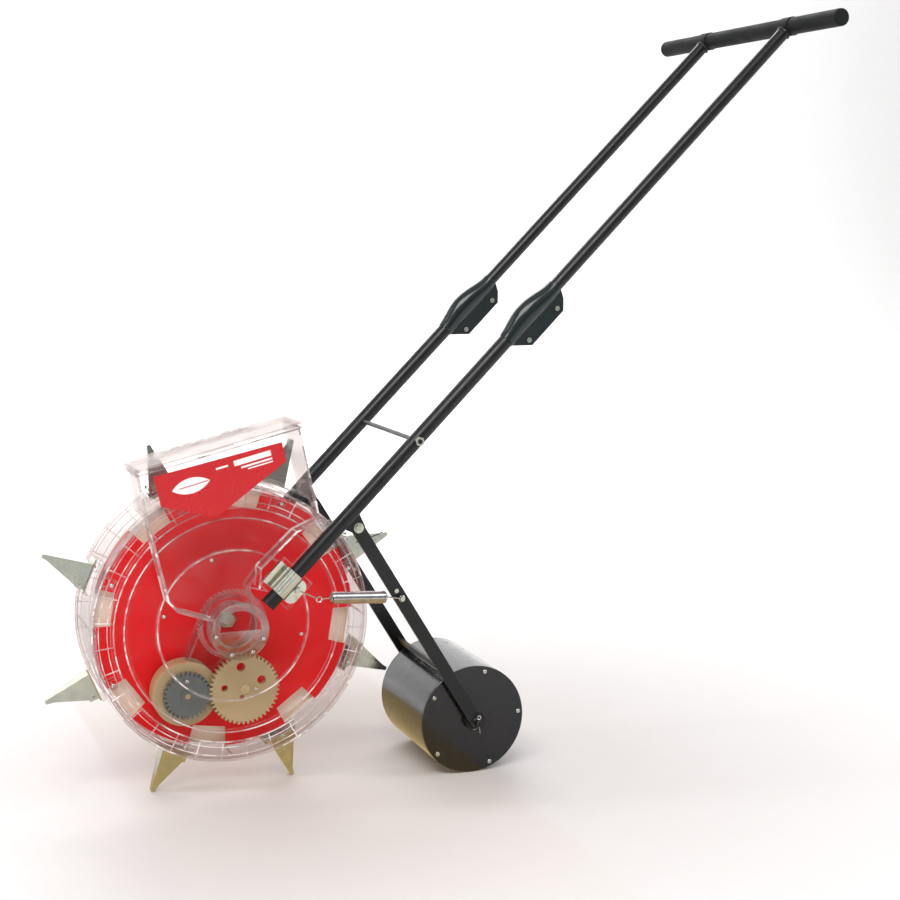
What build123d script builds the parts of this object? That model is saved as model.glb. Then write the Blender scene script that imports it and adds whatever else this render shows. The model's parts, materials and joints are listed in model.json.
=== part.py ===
from build123d import *
import os
from math import atan2, cos, degrees, hypot, pi, radians, sin, sqrt, tan

# Hand-pushed rolling seeder: a clear seed drum with duckbill droppers, a hopper, a sprung press
# roller and a two-tube push handle. Millimetres, +X towards the handle, -Y is the hopper side.
os.makedirs("parts", exist_ok=True)

# ---------------------------------------------------------------- driving dimensions
tips = 8
pitch = 360 / tips
tip_radius = 254.0
tip_half_width = 2.5
axle_x = -287.0
axle_z = tip_radius * cos(radians(pitch / 2)) + tip_half_width * sin(radians(pitch / 2))
first_tip = pitch / 2

drum_radius = 185.0
half_width = 64.0
cover = 3.0
rim_inner = 178.0
rim_outer = 182.5
base_radius = 189.0
running = 0.05
gap = 0.4

axle_radius = 8.0
sleeve_radius = 30.0
sleeve_bore = 27.5
hub_radius = 38.0

module = 2.0
sun_teeth, idler_teeth, pinion_teeth = 45, 46, 30
sun_radius = module * sun_teeth / 2
idler_radius = module * idler_teeth / 2
pinion_radius = module * pinion_teeth / 2
idler_angle, pinion_angle = -80.3, 181.2
gear_back, gear_front = 50.0, 59.0

wall = 2.5
hopper_front, hopper_back, bin_back = 95.0, 69.5, 18.0
hopper_outline = [
    (-131.5, 217.5), (-113, 127.7), (-93, 44.7), (-81, 30.7), (-24, 10.7), (-10, -20), (25, -20),
    (34, -4), (24, 23.7), (13, 56.2), (29, 78.7), (78, 124.7), (109, 138.7), (93, 206.7), (78.5, 271),
]
bin_floor = 192.0
flange_back = 91.0
flange_top, flange_bottom = 21.5, 30.0
lid_thickness = 3.0
lid_gap = 0.3
rim_height = 5.7
rim_over = 3.0
hinge_y = 13.0
hinge_drop = 6.0
knuckle_radius = 3.5
hinge_pin_radius = 2.0
hinge_bore = 2.06

tube_y = 109.7
tube_low = (34.0, 36.7)
tube_angle = 45.5
lower_radius, upper_radius = 10.0, 9.0
upper_bore = 7.5
lower_length = 523.0
upper_start = 400.0
bar_at = 1085.0
bar_radius, bar_wall, bar_half = 12.0, 1.5, 232.0
collar_radius, collar_half = 13.2, 11.0
crossbar_at, crossbar_radius = 288.0, 3.2
pivot_at, pivot_below = 152.0, 25.0
pivot_radius = 3.0
ear_bolt_at, ear_bolt_below = 38.0, 19.0
bolt_radius = 2.2

roller_radius, roller_half = 76.3, 82.7
roller_x = 335.7
roller_z = roller_radius - axle_z
roller_axle_radius = 7.0
roller_bolts, bolt_circle = 5, 69.0
arm_inner, arm_thick, arm_half = 93.0, 5.0, 9.0
spring_y, spring_radius, wire = 103.6, 8.5, 1.0
spring_pin_at, pin_radius = 118.0, 1.9

# ---------------------------------------------------------------- planes
drum = Plane(origin=(axle_x, 0, axle_z), x_dir=(1, 0, 0), z_dir=(0, -1, 0))
along = (cos(radians(tube_angle)), 0, sin(radians(tube_angle)))
top_low, top_high = hopper_outline[0], hopper_outline[-1]
top_slope = degrees(atan2(top_high[1] - top_low[1], top_high[0] - top_low[0]))
top_length = hypot(top_high[1] - top_low[1], top_high[0] - top_low[0])
hopper_top = Plane(
    origin=(axle_x + top_low[0], 0, axle_z + top_low[1]),
    x_dir=(cos(radians(top_slope)), 0, sin(radians(top_slope))),
    z_dir=(-sin(radians(top_slope)), 0, cos(radians(top_slope))),
)


def side(name):
    """+1 on the hopper side, -1 on the far side: the sign of the drum plane's offset."""
    return 1 if name == "near" else -1


def tube_side(name):
    """Plane through one handle tube: x runs up the tube, y points away from the ground."""
    origin = (axle_x + tube_low[0], -side(name) * tube_y, axle_z + tube_low[1])
    return Plane(origin=origin, x_dir=along, z_dir=(0, -1, 0))


def tube_run(name, start):
    """Plane across one handle tube: normal up the tube, x towards the hopper side, y below."""
    origin = tube_side(name).from_local_coords(Vector(start, 0, 0))
    return Plane(origin=origin, x_dir=(0, -1, 0), z_dir=along)


def on_tube(start, above):
    """Point beside a handle tube, in the drum plane's coordinates."""
    rise, run = sin(radians(tube_angle)), cos(radians(tube_angle))
    return (tube_low[0] + start * run - above * rise, tube_low[1] + start * rise + above * run)


def toward(start, end, distance):
    """Point at a distance from start on the way to end."""
    share = distance / hypot(end[0] - start[0], end[1] - start[1])
    return (start[0] + share * (end[0] - start[0]), start[1] + share * (end[1] - start[1]))


pivot = on_tube(pivot_at, -pivot_below)
arm_angle = degrees(atan2(roller_z - pivot[1], roller_x - pivot[0]))
ear_bolt = on_tube(ear_bolt_at, -ear_bolt_below)
spring_pin = toward(pivot, (roller_x, roller_z), spring_pin_at)
idler_centre = (
    (sun_radius + idler_radius) * cos(radians(idler_angle)),
    (sun_radius + idler_radius) * sin(radians(idler_angle)),
)
pinion_centre = (
    idler_centre[0] + (idler_radius + pinion_radius) * cos(radians(pinion_angle)),
    idler_centre[1] + (idler_radius + pinion_radius) * sin(radians(pinion_angle)),
)


def save(part, name):
    part.label = name
    export_step(part, f"parts/{name}.step")


# ---------------------------------------------------------------- gears
def involute_flank(base, radius):
    """Polar angle in radians of an involute at a radius, from its start on the base circle."""
    turn = sqrt(max((radius / base) ** 2 - 1, 0))
    return turn - atan2(turn, 1)


def gear_outline(teeth, phase):
    """Closed involute outline of a spur gear with one tooth centred on the phase angle."""
    addendum, dedendum, backlash = 0.85 * module, 1.2 * module, 0.35
    pitch_radius = module * teeth / 2
    base = pitch_radius * cos(radians(20))
    half_tooth = (pi * module / 2 - backlash) / (2 * pitch_radius) + involute_flank(base, pitch_radius)
    root, crest = pitch_radius - dedendum, pitch_radius + addendum
    radii = [max(base, root) + (crest - max(base, root)) * step / 3 for step in range(4)]
    points = []
    for tooth in range(teeth):
        centre = radians(phase) + 2 * pi * tooth / teeth
        rising = [(root, half_tooth)] + [(r, half_tooth - involute_flank(base, r)) for r in radii]
        flank = [(r, -turn) for r, turn in rising] + [(r, turn) for r, turn in reversed(rising)]
        points += [(r * cos(centre + turn), r * sin(centre + turn)) for r, turn in flank]
    return points


def meshing_phase(driver_radius, driver_phase, direction, follower_radius):
    """Phase that puts a follower's gap on a driver's tooth, given the line between centres."""
    shift = radians(driver_phase - direction) * driver_radius + pi * module / 2
    return direction + 180 - degrees(shift / follower_radius)


sun_phase = idler_angle
idler_phase = meshing_phase(sun_radius, sun_phase, idler_angle, idler_radius)
pinion_phase = meshing_phase(idler_radius, idler_phase, pinion_angle, pinion_radius)


def gear_blank(teeth, phase, centre):
    """Gear face sketched on the drum plane at the gears' rear face."""
    with BuildSketch(drum.offset(gear_back)) as face:
        with Locations(centre):
            Polygon(*gear_outline(teeth, phase), align=None)
    return face.sketch


# ---------------------------------------------------------------- hopper
def hopper_face(inset, depth):
    """Hopper side outline with its round hub boss, drawn in by an inset."""
    with BuildSketch(drum.offset(depth)) as face:
        Polygon(*hopper_outline, align=None)
        Circle(hub_radius)
        if inset:
            offset(amount=-inset, kind=Kind.INTERSECTION)
    return face.sketch


def bin_face(inset, depth):
    """The part of the hopper outline that lies clear above the drum."""
    with BuildSketch(drum.offset(depth)) as face:
        Polygon(*hopper_outline, align=None)
        if inset:
            offset(amount=-inset, kind=Kind.INTERSECTION)
        Circle(bin_floor + inset, mode=Mode.SUBTRACT)
    return face.sketch.faces().sort_by(Axis.Z)[-1]


def mouth(inset, level, height):
    """Block over the hopper's mouth, square to its sloping top."""
    far, near = -bin_back - inset, -hopper_front - rim_over + inset
    with BuildPart() as block:
        with BuildSketch(hopper_top.offset(level)):
            with Locations((top_length / 2, (far + near) / 2)):
                Rectangle(top_length + 2 * rim_over - 2 * inset, far - near)
        extrude(amount=height)
    return block.part


def knuckles(starts, length, low, high, root, bore):
    """Hinge barrels along the hopper's far top edge; root is where a web reaches its wall."""
    edge = bin_back + 1
    with BuildPart() as barrels:
        for start in starts:
            middle = start + length / 2
            with Locations(hopper_top):
                with Locations((middle, -hinge_y, -hinge_drop)):
                    Cylinder(knuckle_radius, length, rotation=(0, 90, 0))
                with Locations((middle, -(hinge_y + edge - 2) / 2, (low + high) / 2)):
                    Box(length, edge - 2 - hinge_y, high - low)
                with Locations((middle, -(hinge_y + edge) / 2, (root + high) / 2)):
                    Box(length, edge - hinge_y, high - root)
    with BuildPart() as bored:
        add(barrels.part)
        with Locations(hopper_top):
            with Locations((top_length / 2, -hinge_y, -hinge_drop)):
                Cylinder(bore, top_length, rotation=(0, 90, 0), mode=Mode.SUBTRACT)
    return bored.part


hopper_knuckle, lid_knuckle, knuckle_length = (32, 158), (32 + 22, 158 - 22), 21.6
rim_level = -lid_thickness - lid_gap - rim_height

with BuildPart() as hopper_hollow:
    add(extrude(hopper_face(wall, hopper_back + wall), amount=hopper_front - hopper_back - 2 * wall))
    add(extrude(bin_face(wall, bin_back + wall), amount=hopper_front - bin_back - 2 * wall))

with BuildPart() as hopper_body:
    add(extrude(hopper_face(0, hopper_back), amount=hopper_front - hopper_back))
    add(extrude(bin_face(0, bin_back), amount=hopper_front - bin_back))
    with BuildSketch(tube_side("near").offset(flange_back - tube_y)):
        with Locations((34.5, (flange_top - flange_bottom) / 2)):
            Rectangle(47, flange_top + flange_bottom)
    extrude(amount=tube_y - lower_radius - flange_back - 0.1)
    with BuildSketch(drum.offset(flange_back)):
        Polygon(
            (13, 56.2), (29, 78.7), (78, 124.7), (109, 138.7), (127, 138.7), (66, 76), (40, 48),
            align=None,
        )
    extrude(amount=hopper_front - flange_back)
    add(hopper_hollow.part, mode=Mode.SUBTRACT)
    split(bisect_by=hopper_top.offset(rim_level), keep=Keep.BOTTOM)
    add(mouth(0, rim_level, rim_height))
    add(mouth(rim_over + wall, rim_level, rim_height), mode=Mode.SUBTRACT)
    barrel_top = rim_level + rim_height
    add(knuckles(hopper_knuckle, knuckle_length, rim_level, barrel_top, rim_level, hinge_pin_radius))
    with BuildSketch(drum.offset(hopper_back)):
        Circle(sleeve_bore)
    extrude(amount=wall, mode=Mode.SUBTRACT)
    with Locations(tube_side("near")):
        with Locations((ear_bolt_at, -ear_bolt_below)):
            Cylinder(bolt_radius, 60, mode=Mode.SUBTRACT)
save(hopper_body.part, "hopper_body")

with BuildPart() as hopper_lid:
    add(mouth(0, -lid_thickness, lid_thickness))
    add(mouth(rim_over + wall + 1, -lid_thickness - 4, 4))
    add(mouth(rim_over + wall + 3, -lid_thickness - 4, 4), mode=Mode.SUBTRACT)
    with Locations(hopper_top):
        with GridLocations(17, 1, 6, 1):
            with Locations((top_length / 2, -bin_back - 12, 0)):
                Box(11, 4, 2.4)
        with Locations((top_length / 2, -hopper_front - rim_over - 4, -lid_thickness / 2)):
            Box(34, 10, lid_thickness)
    add(knuckles(lid_knuckle, knuckle_length, -hinge_drop, 0, -lid_thickness, hinge_bore))
save(hopper_lid.part, "hopper_lid")

with BuildPart(hopper_top) as lid_hinge_pin:
    with Locations(((hopper_knuckle[0] + hopper_knuckle[1] + knuckle_length) / 2, -hinge_y, -hinge_drop)):
        Cylinder(hinge_pin_radius, hopper_knuckle[1] - hopper_knuckle[0] + knuckle_length + 4,
                 rotation=(0, 90, 0))
save(lid_hinge_pin.part, "lid_hinge_pin")

with BuildPart() as hopper_label:
    with BuildSketch(drum.offset(hopper_front)):
        Polygon((-110, 207.5), (56, 245), (62, 220), (-29, 152), (-100.5, 168.7), align=None)
    extrude(amount=0.5)
save(hopper_label.part, "hopper_label")

# ---------------------------------------------------------------- hub, axle and metering
hub_face = hopper_front + 4
hub_screw_angles = (-172, -112, -61, -22)
hub_screw_circle = 32.5

with BuildPart() as hub_ring:
    with BuildSketch(drum.offset(hopper_front)):
        Circle(hub_radius)
        Circle(sleeve_bore, mode=Mode.SUBTRACT)
    extrude(amount=hub_face - hopper_front)
    with BuildSketch(drum.offset(hopper_front)):
        Circle(sleeve_bore + 1)
        Rectangle(2 * hub_radius, 2 * hub_radius, align=(Align.CENTER, Align.MIN), mode=Mode.SUBTRACT)
    extrude(amount=2)
    for angle in hub_screw_angles:
        with Locations(drum):
            with PolarLocations(hub_screw_circle, 1, angle):
                with Locations((0, 0, hub_face)):
                    Cylinder(1.6, 10, mode=Mode.SUBTRACT)
save(hub_ring.part, "hub_ring")

with BuildPart(drum) as hub_screws:
    for angle in hub_screw_angles:
        with PolarLocations(hub_screw_circle, 1, angle):
            with Locations((0, 0, hub_face + 1)):
                Cylinder(2.8, 2)
            with Locations((0, 0, hub_face - 2)):
                Cylinder(1.6, 4)
save(hub_screws.part, "hub_screws")

chute_back, chute_front = 22.0, 48.0
box_radius = 43.0
roller_core, roller_shaft = 22.0, 4.0


def chute_face(inset):
    """Seed chute outline: round the axle, narrowing to the metering box."""
    reach = (pinion_centre[0] * 0.75, pinion_centre[1] * 0.75)
    with BuildSketch(drum.offset(chute_back + inset)) as face:
        Circle(sleeve_radius + 6 - inset)
        with Locations(reach):
            Circle(20 - inset)
        make_hull()
        with Locations(pinion_centre):
            Circle(box_radius, mode=Mode.SUBTRACT)
    return face.sketch


with BuildPart() as hub_chute:
    with BuildSketch(drum.offset(chute_back)):
        Circle(sleeve_radius)
    extrude(amount=hopper_back - chute_back)
    add(extrude(chute_face(0), amount=chute_front - chute_back))
    with BuildSketch(drum.offset(chute_front - 4)):
        Circle(sleeve_radius)
        with Locations(idler_centre):
            Circle(12)
        make_hull()
        with Locations(pinion_centre):
            Circle(box_radius, mode=Mode.SUBTRACT)
    extrude(amount=4)
    with BuildSketch(drum.offset(chute_back + wall)):
        Circle(sleeve_bore)
    extrude(amount=hopper_back - chute_back - wall, mode=Mode.SUBTRACT)
    add(extrude(chute_face(wall), amount=chute_front - chute_back - 2 * wall), mode=Mode.SUBTRACT)
    with Locations(drum):
        Cylinder(axle_radius, 200, mode=Mode.SUBTRACT)
        with Locations((idler_centre[0], idler_centre[1], chute_front - 2)):
            Cylinder(5, 8, mode=Mode.SUBTRACT)
save(hub_chute.part, "hub_chute")

with BuildPart() as metering_box:
    with BuildSketch(drum.offset(chute_back)):
        with Locations(pinion_centre):
            Circle(box_radius)
    extrude(amount=chute_front - chute_back)
    with BuildSketch(drum.offset(chute_back + wall)):
        with Locations(pinion_centre):
            Circle(box_radius - wall)
    extrude(amount=chute_front - chute_back - 2 * wall, mode=Mode.SUBTRACT)
    with BuildSketch(drum.offset(chute_back + 2 * wall)):
        Circle(sleeve_radius)
        with Locations((pinion_centre[0] * 0.75, pinion_centre[1] * 0.75)):
            Circle(15)
        make_hull()
    extrude(amount=chute_front - chute_back - 4 * wall, mode=Mode.SUBTRACT)
    with BuildSketch(drum.offset(chute_back + 2 * wall)):
        with Locations((pinion_centre[0] - 8, pinion_centre[1] - box_radius)):
            Rectangle(22, 20)
    extrude(amount=chute_front - chute_back - 4 * wall, mode=Mode.SUBTRACT)
    with Locations(drum):
        with Locations((pinion_centre[0], pinion_centre[1], chute_back)):
            Cylinder(roller_shaft + running, 80, mode=Mode.SUBTRACT)
save(metering_box.part, "metering_box")

with BuildPart(drum) as seed_roller:
    with Locations((pinion_centre[0], pinion_centre[1], (chute_back + chute_front) / 2)):
        Cylinder(roller_core, chute_front - chute_back - 2 * wall - 1)
        with PolarLocations(roller_core, 10):
            Sphere(3.5, mode=Mode.SUBTRACT)
    with Locations((pinion_centre[0], pinion_centre[1], (chute_back - 2 + gear_front) / 2)):
        Cylinder(roller_shaft, gear_front - chute_back + 2)
save(seed_roller.part, "seed_roller")

with BuildPart() as drive_pinion:
    add(extrude(gear_blank(pinion_teeth, pinion_phase, pinion_centre), amount=gear_front - gear_back))
    with Locations(drum):
        with Locations((pinion_centre[0], pinion_centre[1], gear_front)):
            Cylinder(9, 3)
        with Locations((pinion_centre[0], pinion_centre[1], gear_front)):
            Cylinder(roller_shaft, 40, mode=Mode.SUBTRACT)
save(drive_pinion.part, "drive_pinion")

with BuildPart() as idler_gear:
    add(extrude(gear_blank(idler_teeth, idler_phase, idler_centre), amount=gear_front - gear_back))
    with Locations(drum):
        for across, up, radius in ((-5, 31, 6), (23, 11, 6), (-27, 4, 4.5), (-4, -11, 3.5)):
            with Locations((idler_centre[0] + across, idler_centre[1] + up, gear_front)):
                Cylinder(radius, 40, mode=Mode.SUBTRACT)
        with Locations((idler_centre[0], idler_centre[1], gear_front)):
            Cylinder(5 + running, 40, mode=Mode.SUBTRACT)
save(idler_gear.part, "idler_gear")

with BuildPart(drum) as idler_pin:
    with Locations((idler_centre[0], idler_centre[1], (chute_front - 4 + gear_front + 0.3) / 2)):
        Cylinder(5, gear_front + 0.3 - chute_front + 4)
    with Locations((idler_centre[0], idler_centre[1], gear_front + 0.3 + 0.5)):
        Cylinder(7, 1)
    with Locations((idler_centre[0], idler_centre[1], chute_front + 0.8)):
        Cylinder(8, 1.6)
save(idler_pin.part, "idler_pin")

with BuildPart() as hub_gear:
    add(extrude(gear_blank(sun_teeth, sun_phase, (0, 0)), amount=gear_front - gear_back))
    with Locations(drum):
        Cylinder(sleeve_radius + running, 200, mode=Mode.SUBTRACT)
save(hub_gear.part, "hub_gear")

far_face = 99.6
axle_end = chute_back + wall + 9.5
with BuildPart(drum) as hub_axle:
    with Locations((0, 0, (axle_end - far_face - 9) / 2)):
        Cylinder(axle_radius, axle_end + far_face + 9)
    chamfer(hub_axle.edges().filter_by(GeomType.CIRCLE), 1)
save(hub_axle.part, "hub_axle")

with BuildPart() as axle_nuts:
    for start, height in ((chute_back + wall, 6), (-far_face - 6, 6)):
        with BuildSketch(drum.offset(start)):
            RegularPolygon(12, 6)
            Circle(axle_radius, mode=Mode.SUBTRACT)
        extrude(amount=height)

with BuildPart() as far_plate:
    with BuildSketch(drum.offset(-far_face)):
        Circle(22)
        for start in (14, 55):
            with Locations(on_tube(start, flange_top - 6), on_tube(start, 6 - flange_bottom)):
                Circle(6)
        make_hull()
        Circle(axle_radius, mode=Mode.SUBTRACT)
        with Locations(ear_bolt):
            Circle(bolt_radius, mode=Mode.SUBTRACT)
    extrude(amount=4)
save(far_plate.part, "far_plate")

# ---------------------------------------------------------------- drum
def drum_profile(points, sign):
    """Ring turned about the drum axis from a profile of (distance from middle, radius)."""
    with BuildPart() as ring:
        with BuildSketch(Plane(origin=drum.origin, x_dir=(0, -sign, 0), z_dir=(sign, 0, 0))):
            Polygon(*points, align=None)
        revolve(axis=Axis(drum.origin, (0, 1, 0)))
    return ring.part


def drum_cover(bore, boss_radius, boss_end):
    """Half profile of a drum cover: hub boss, raised ring, rim flange with a turned-in lip."""
    inside = half_width - cover
    return [
        (boss_end, bore), (half_width, bore), (half_width, 99), (half_width + 1.5, 100),
        (half_width + 1.5, 102), (half_width, 103), (half_width, 140), (half_width + 3, 143),
        (half_width + 3, 158), (half_width, 161), (half_width, drum_radius), (50, drum_radius),
        (50, rim_outer), (inside, rim_outer), (inside, 159), (half_width, 156.5), (half_width, 144.5),
        (inside, 142), (inside, boss_radius), (boss_end, boss_radius),
    ]


cover_screw_circle, cover_screw_count, cover_screw_start = 94.0, 6, 48.0
rim_screw_circle = 171.0
screw_radius, head_radius = 1.5, 2.7


def screw_holes():
    """Through holes for the rim screws, on the drum axis."""
    with BuildPart(drum) as holes:
        with PolarLocations(rim_screw_circle, tips, first_tip):
            Cylinder(screw_radius, 3 * half_width)
    return holes.part


with BuildPart() as near_cover:
    add(drum_profile(drum_cover(sleeve_radius + running, 41, gear_front), 1))
    add(screw_holes(), mode=Mode.SUBTRACT)
    with Locations(drum):
        with PolarLocations(cover_screw_circle, cover_screw_count, cover_screw_start):
            Cylinder(screw_radius, 3 * half_width, mode=Mode.SUBTRACT)
save(near_cover.part, "near_cover")

with BuildPart() as far_cover:
    add(drum_profile(drum_cover(axle_radius + running, 24, 40), -1))
    add(screw_holes(), mode=Mode.SUBTRACT)
save(far_cover.part, "far_cover")

boss_depth = 12.0
inner_face = half_width - cover
half_wedge = radians(pitch / 2)

with BuildPart() as rim_segments:
    for index in range(tips):
        middle = first_tip + index * pitch
        reach = 2 * drum_radius
        with BuildSketch(drum.offset(-inner_face)):
            Circle(rim_outer)
            Circle(rim_inner, mode=Mode.SUBTRACT)
            with PolarLocations(0, 1, middle):
                Polygon(
                    (gap / 2 / sin(half_wedge), 0),
                    (reach * cos(half_wedge), reach * sin(half_wedge)),
                    (reach * cos(half_wedge), -reach * sin(half_wedge)),
                    align=None, mode=Mode.INTERSECT,
                )
        extrude(amount=2 * inner_face)
        with BuildSketch(drum.offset(-18)):
            with PolarLocations(0, 1, middle):
                with Locations(((rim_inner + 2 + base_radius) / 2, 5)):
                    Rectangle(base_radius - rim_inner - 2, 48)
        extrude(amount=36)
        for end in (-inner_face, inner_face - boss_depth):
            with BuildSketch(drum.offset(end)):
                with PolarLocations(rim_screw_circle + 1, 1, middle):
                    Rectangle(14, 12)
            extrude(amount=boss_depth)
    with Locations(drum):
        with PolarLocations(rim_screw_circle, tips, first_tip):
            for end in (-inner_face + 4, inner_face - 4):
                with Locations((0, 0, end)):
                    Cylinder(screw_radius, 8, mode=Mode.SUBTRACT)
save(rim_segments.part, "rim_segments")


def pan_screws(circle, count, start, shank, outwards):
    """Ring of pan-head screws in a drum cover; outwards is +1 on the hopper side, -1 behind."""
    with BuildPart(drum) as screws:
        with PolarLocations(circle, count, start):
            with Locations((0, 0, outwards * (half_width + 0.8))):
                Cylinder(head_radius, 1.6)
            with Locations((0, 0, outwards * (half_width - shank / 2))):
                Cylinder(screw_radius, shank)
    return screws.part


with BuildPart() as cover_screws:
    for outwards in (1, -1):
        add(pan_screws(rim_screw_circle, tips, first_tip, cover + 8, outwards))
    add(pan_screws(cover_screw_circle, cover_screw_count, cover_screw_start, cover, 1))
save(cover_screws.part, "cover_screws")

disc_near, disc_thickness = 16.0, 3.0
notch_lead, notch_width, notch_root = 14.0, 17.0, 150.0

with BuildPart() as seed_disc:
    with BuildSketch(drum.offset(disc_near - disc_thickness)):
        Circle(rim_inner)
        for index in range(tips):
            slope = tan(radians(notch_width / 2))
            rim = rim_inner + 5
            with PolarLocations(0, 1, first_tip + index * pitch + notch_lead):
                Polygon(
                    (notch_root, -notch_root * slope), (rim, -rim * slope),
                    (rim, rim * slope), (notch_root, notch_root * slope),
                    align=None, mode=Mode.SUBTRACT,
                )
    extrude(amount=disc_thickness)
    with BuildSketch(drum.offset(8)):
        Circle(18)
    extrude(amount=12)
    with Locations(drum):
        Cylinder(axle_radius + running, 3 * half_width, mode=Mode.SUBTRACT)
save(seed_disc.part, "seed_disc")

# ---------------------------------------------------------------- duckbills
sheet = 1.6
base_half, tip_half = 14.0, 4.5
spine_lean, ear_reach = 12.0, 24.0
jaw_pin = (197.0, 20.0)
jaw_pin_radius = 1.5
jaw_end = 247.0
jaw_side_gap = 1.2


def beak(outline, inset):
    """Wedge pointing out along the drum plane's x axis, thinning towards the tip by its inset."""
    thinning = (tip_half - base_half) / (tip_radius - base_radius)
    low, high = base_radius - 10, tip_radius + 10
    low_half = base_half - inset + thinning * (low - base_radius)
    high_half = base_half - inset + thinning * (high - base_radius)
    with BuildPart() as wedge:
        with BuildSketch(drum):
            Polygon(*outline, align=None)
        extrude(amount=2 * base_half, both=True)
        with BuildSketch(Plane(origin=drum.origin, x_dir=(1, 0, 0), z_dir=(0, 0, 1))):
            Polygon((low, -low_half), (high, -high_half), (high, high_half), (low, low_half), align=None)
        extrude(amount=2 * base_half, both=True, mode=Mode.INTERSECT)
    return wedge.part


with BuildPart() as spine:
    add(beak([
        (base_radius, -spine_lean), (tip_radius, -tip_half_width), (tip_radius, tip_half_width),
        (206, 10), (203, ear_reach), (base_radius, ear_reach),
    ], 0))
    add(beak([
        (base_radius - 2, sheet - spine_lean), (tip_radius - 5, sheet - tip_half_width),
        (tip_radius - 5, 27), (base_radius - 2, 27),
    ], sheet), mode=Mode.SUBTRACT)
    with Locations(drum):
        with Locations((base_radius + 1, 4, 0)):
            Box(2, 46, 32)
        with Locations((base_radius + 1, 3, 0)):
            Box(4, 20, 20, mode=Mode.SUBTRACT)
        with Locations((jaw_pin[0], jaw_pin[1], 0)):
            Cylinder(jaw_pin_radius, 60, mode=Mode.SUBTRACT)

with BuildPart() as jaw:
    add(beak([(192.5, 6), (192.5, 20), (196, 25), (jaw_end, 3.8), (jaw_end, -0.5)], sheet + jaw_side_gap))
    add(beak([
        (190, -20), (190, 18), (196, 25 - 1.25 * sheet), (jaw_end - 5, 4.2 - sheet), (jaw_end - 5, -20),
    ], 2 * sheet + jaw_side_gap), mode=Mode.SUBTRACT)
    with Locations(drum):
        with Locations((jaw_pin[0], jaw_pin[1], 0)):
            Cylinder(3.2, 18)
            Cylinder(jaw_pin_radius + running, 60, mode=Mode.SUBTRACT)


def around_drum(blank, angle):
    """Copy of a piece that points along the drum plane's x axis, turned to an angle."""
    return blank.rotate(Axis(drum.origin, (0, -1, 0)), angle)


with BuildPart() as duckbill_spines:
    for index in range(tips):
        add(around_drum(spine.part, first_tip + index * pitch))
save(duckbill_spines.part, "duckbill_spines")

for index in range(tips):
    save(around_drum(jaw.part, first_tip + index * pitch), f"duckbill_jaw_{index + 1}")

with BuildPart(drum) as jaw_pins:
    for index in range(tips):
        with PolarLocations(0, 1, first_tip + index * pitch):
            with Locations((jaw_pin[0], jaw_pin[1], 0)):
                Cylinder(jaw_pin_radius, 29)
save(jaw_pins.part, "jaw_pins")

# ---------------------------------------------------------------- handle and frame tubes
flange_outline = [
    (469.5, -3), (471, -10), (492, -31), (557, -31), (569, -19), (576, -5), (571.5, 0), (472, 0),
]
swelling = [
    (471, 0, 11.5, 11.5), (494, 2.4, 13.2, 14), (518, 3.8, 14, 15.8), (553.5, 0.6, 12.5, 12.5),
    (572, 0, 10.6, 10.6),
]
connector_bolts_at = ((493, -21.5), (552, -21))
connector_half = 6.0
lug_thickness = 5.0
lug_face = arm_inner + arm_thick + 1
clamp_start, clamp_length, clamp_sheet, clamp_reach = 17.0, 35.0, 2.5, 29.0
clamp_back = lower_radius + 0.1
clamp_hook = flange_top + 0.1
flute_angles, flute_radius = (12, 50, 88), 2.4
arm_lugs = []

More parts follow.
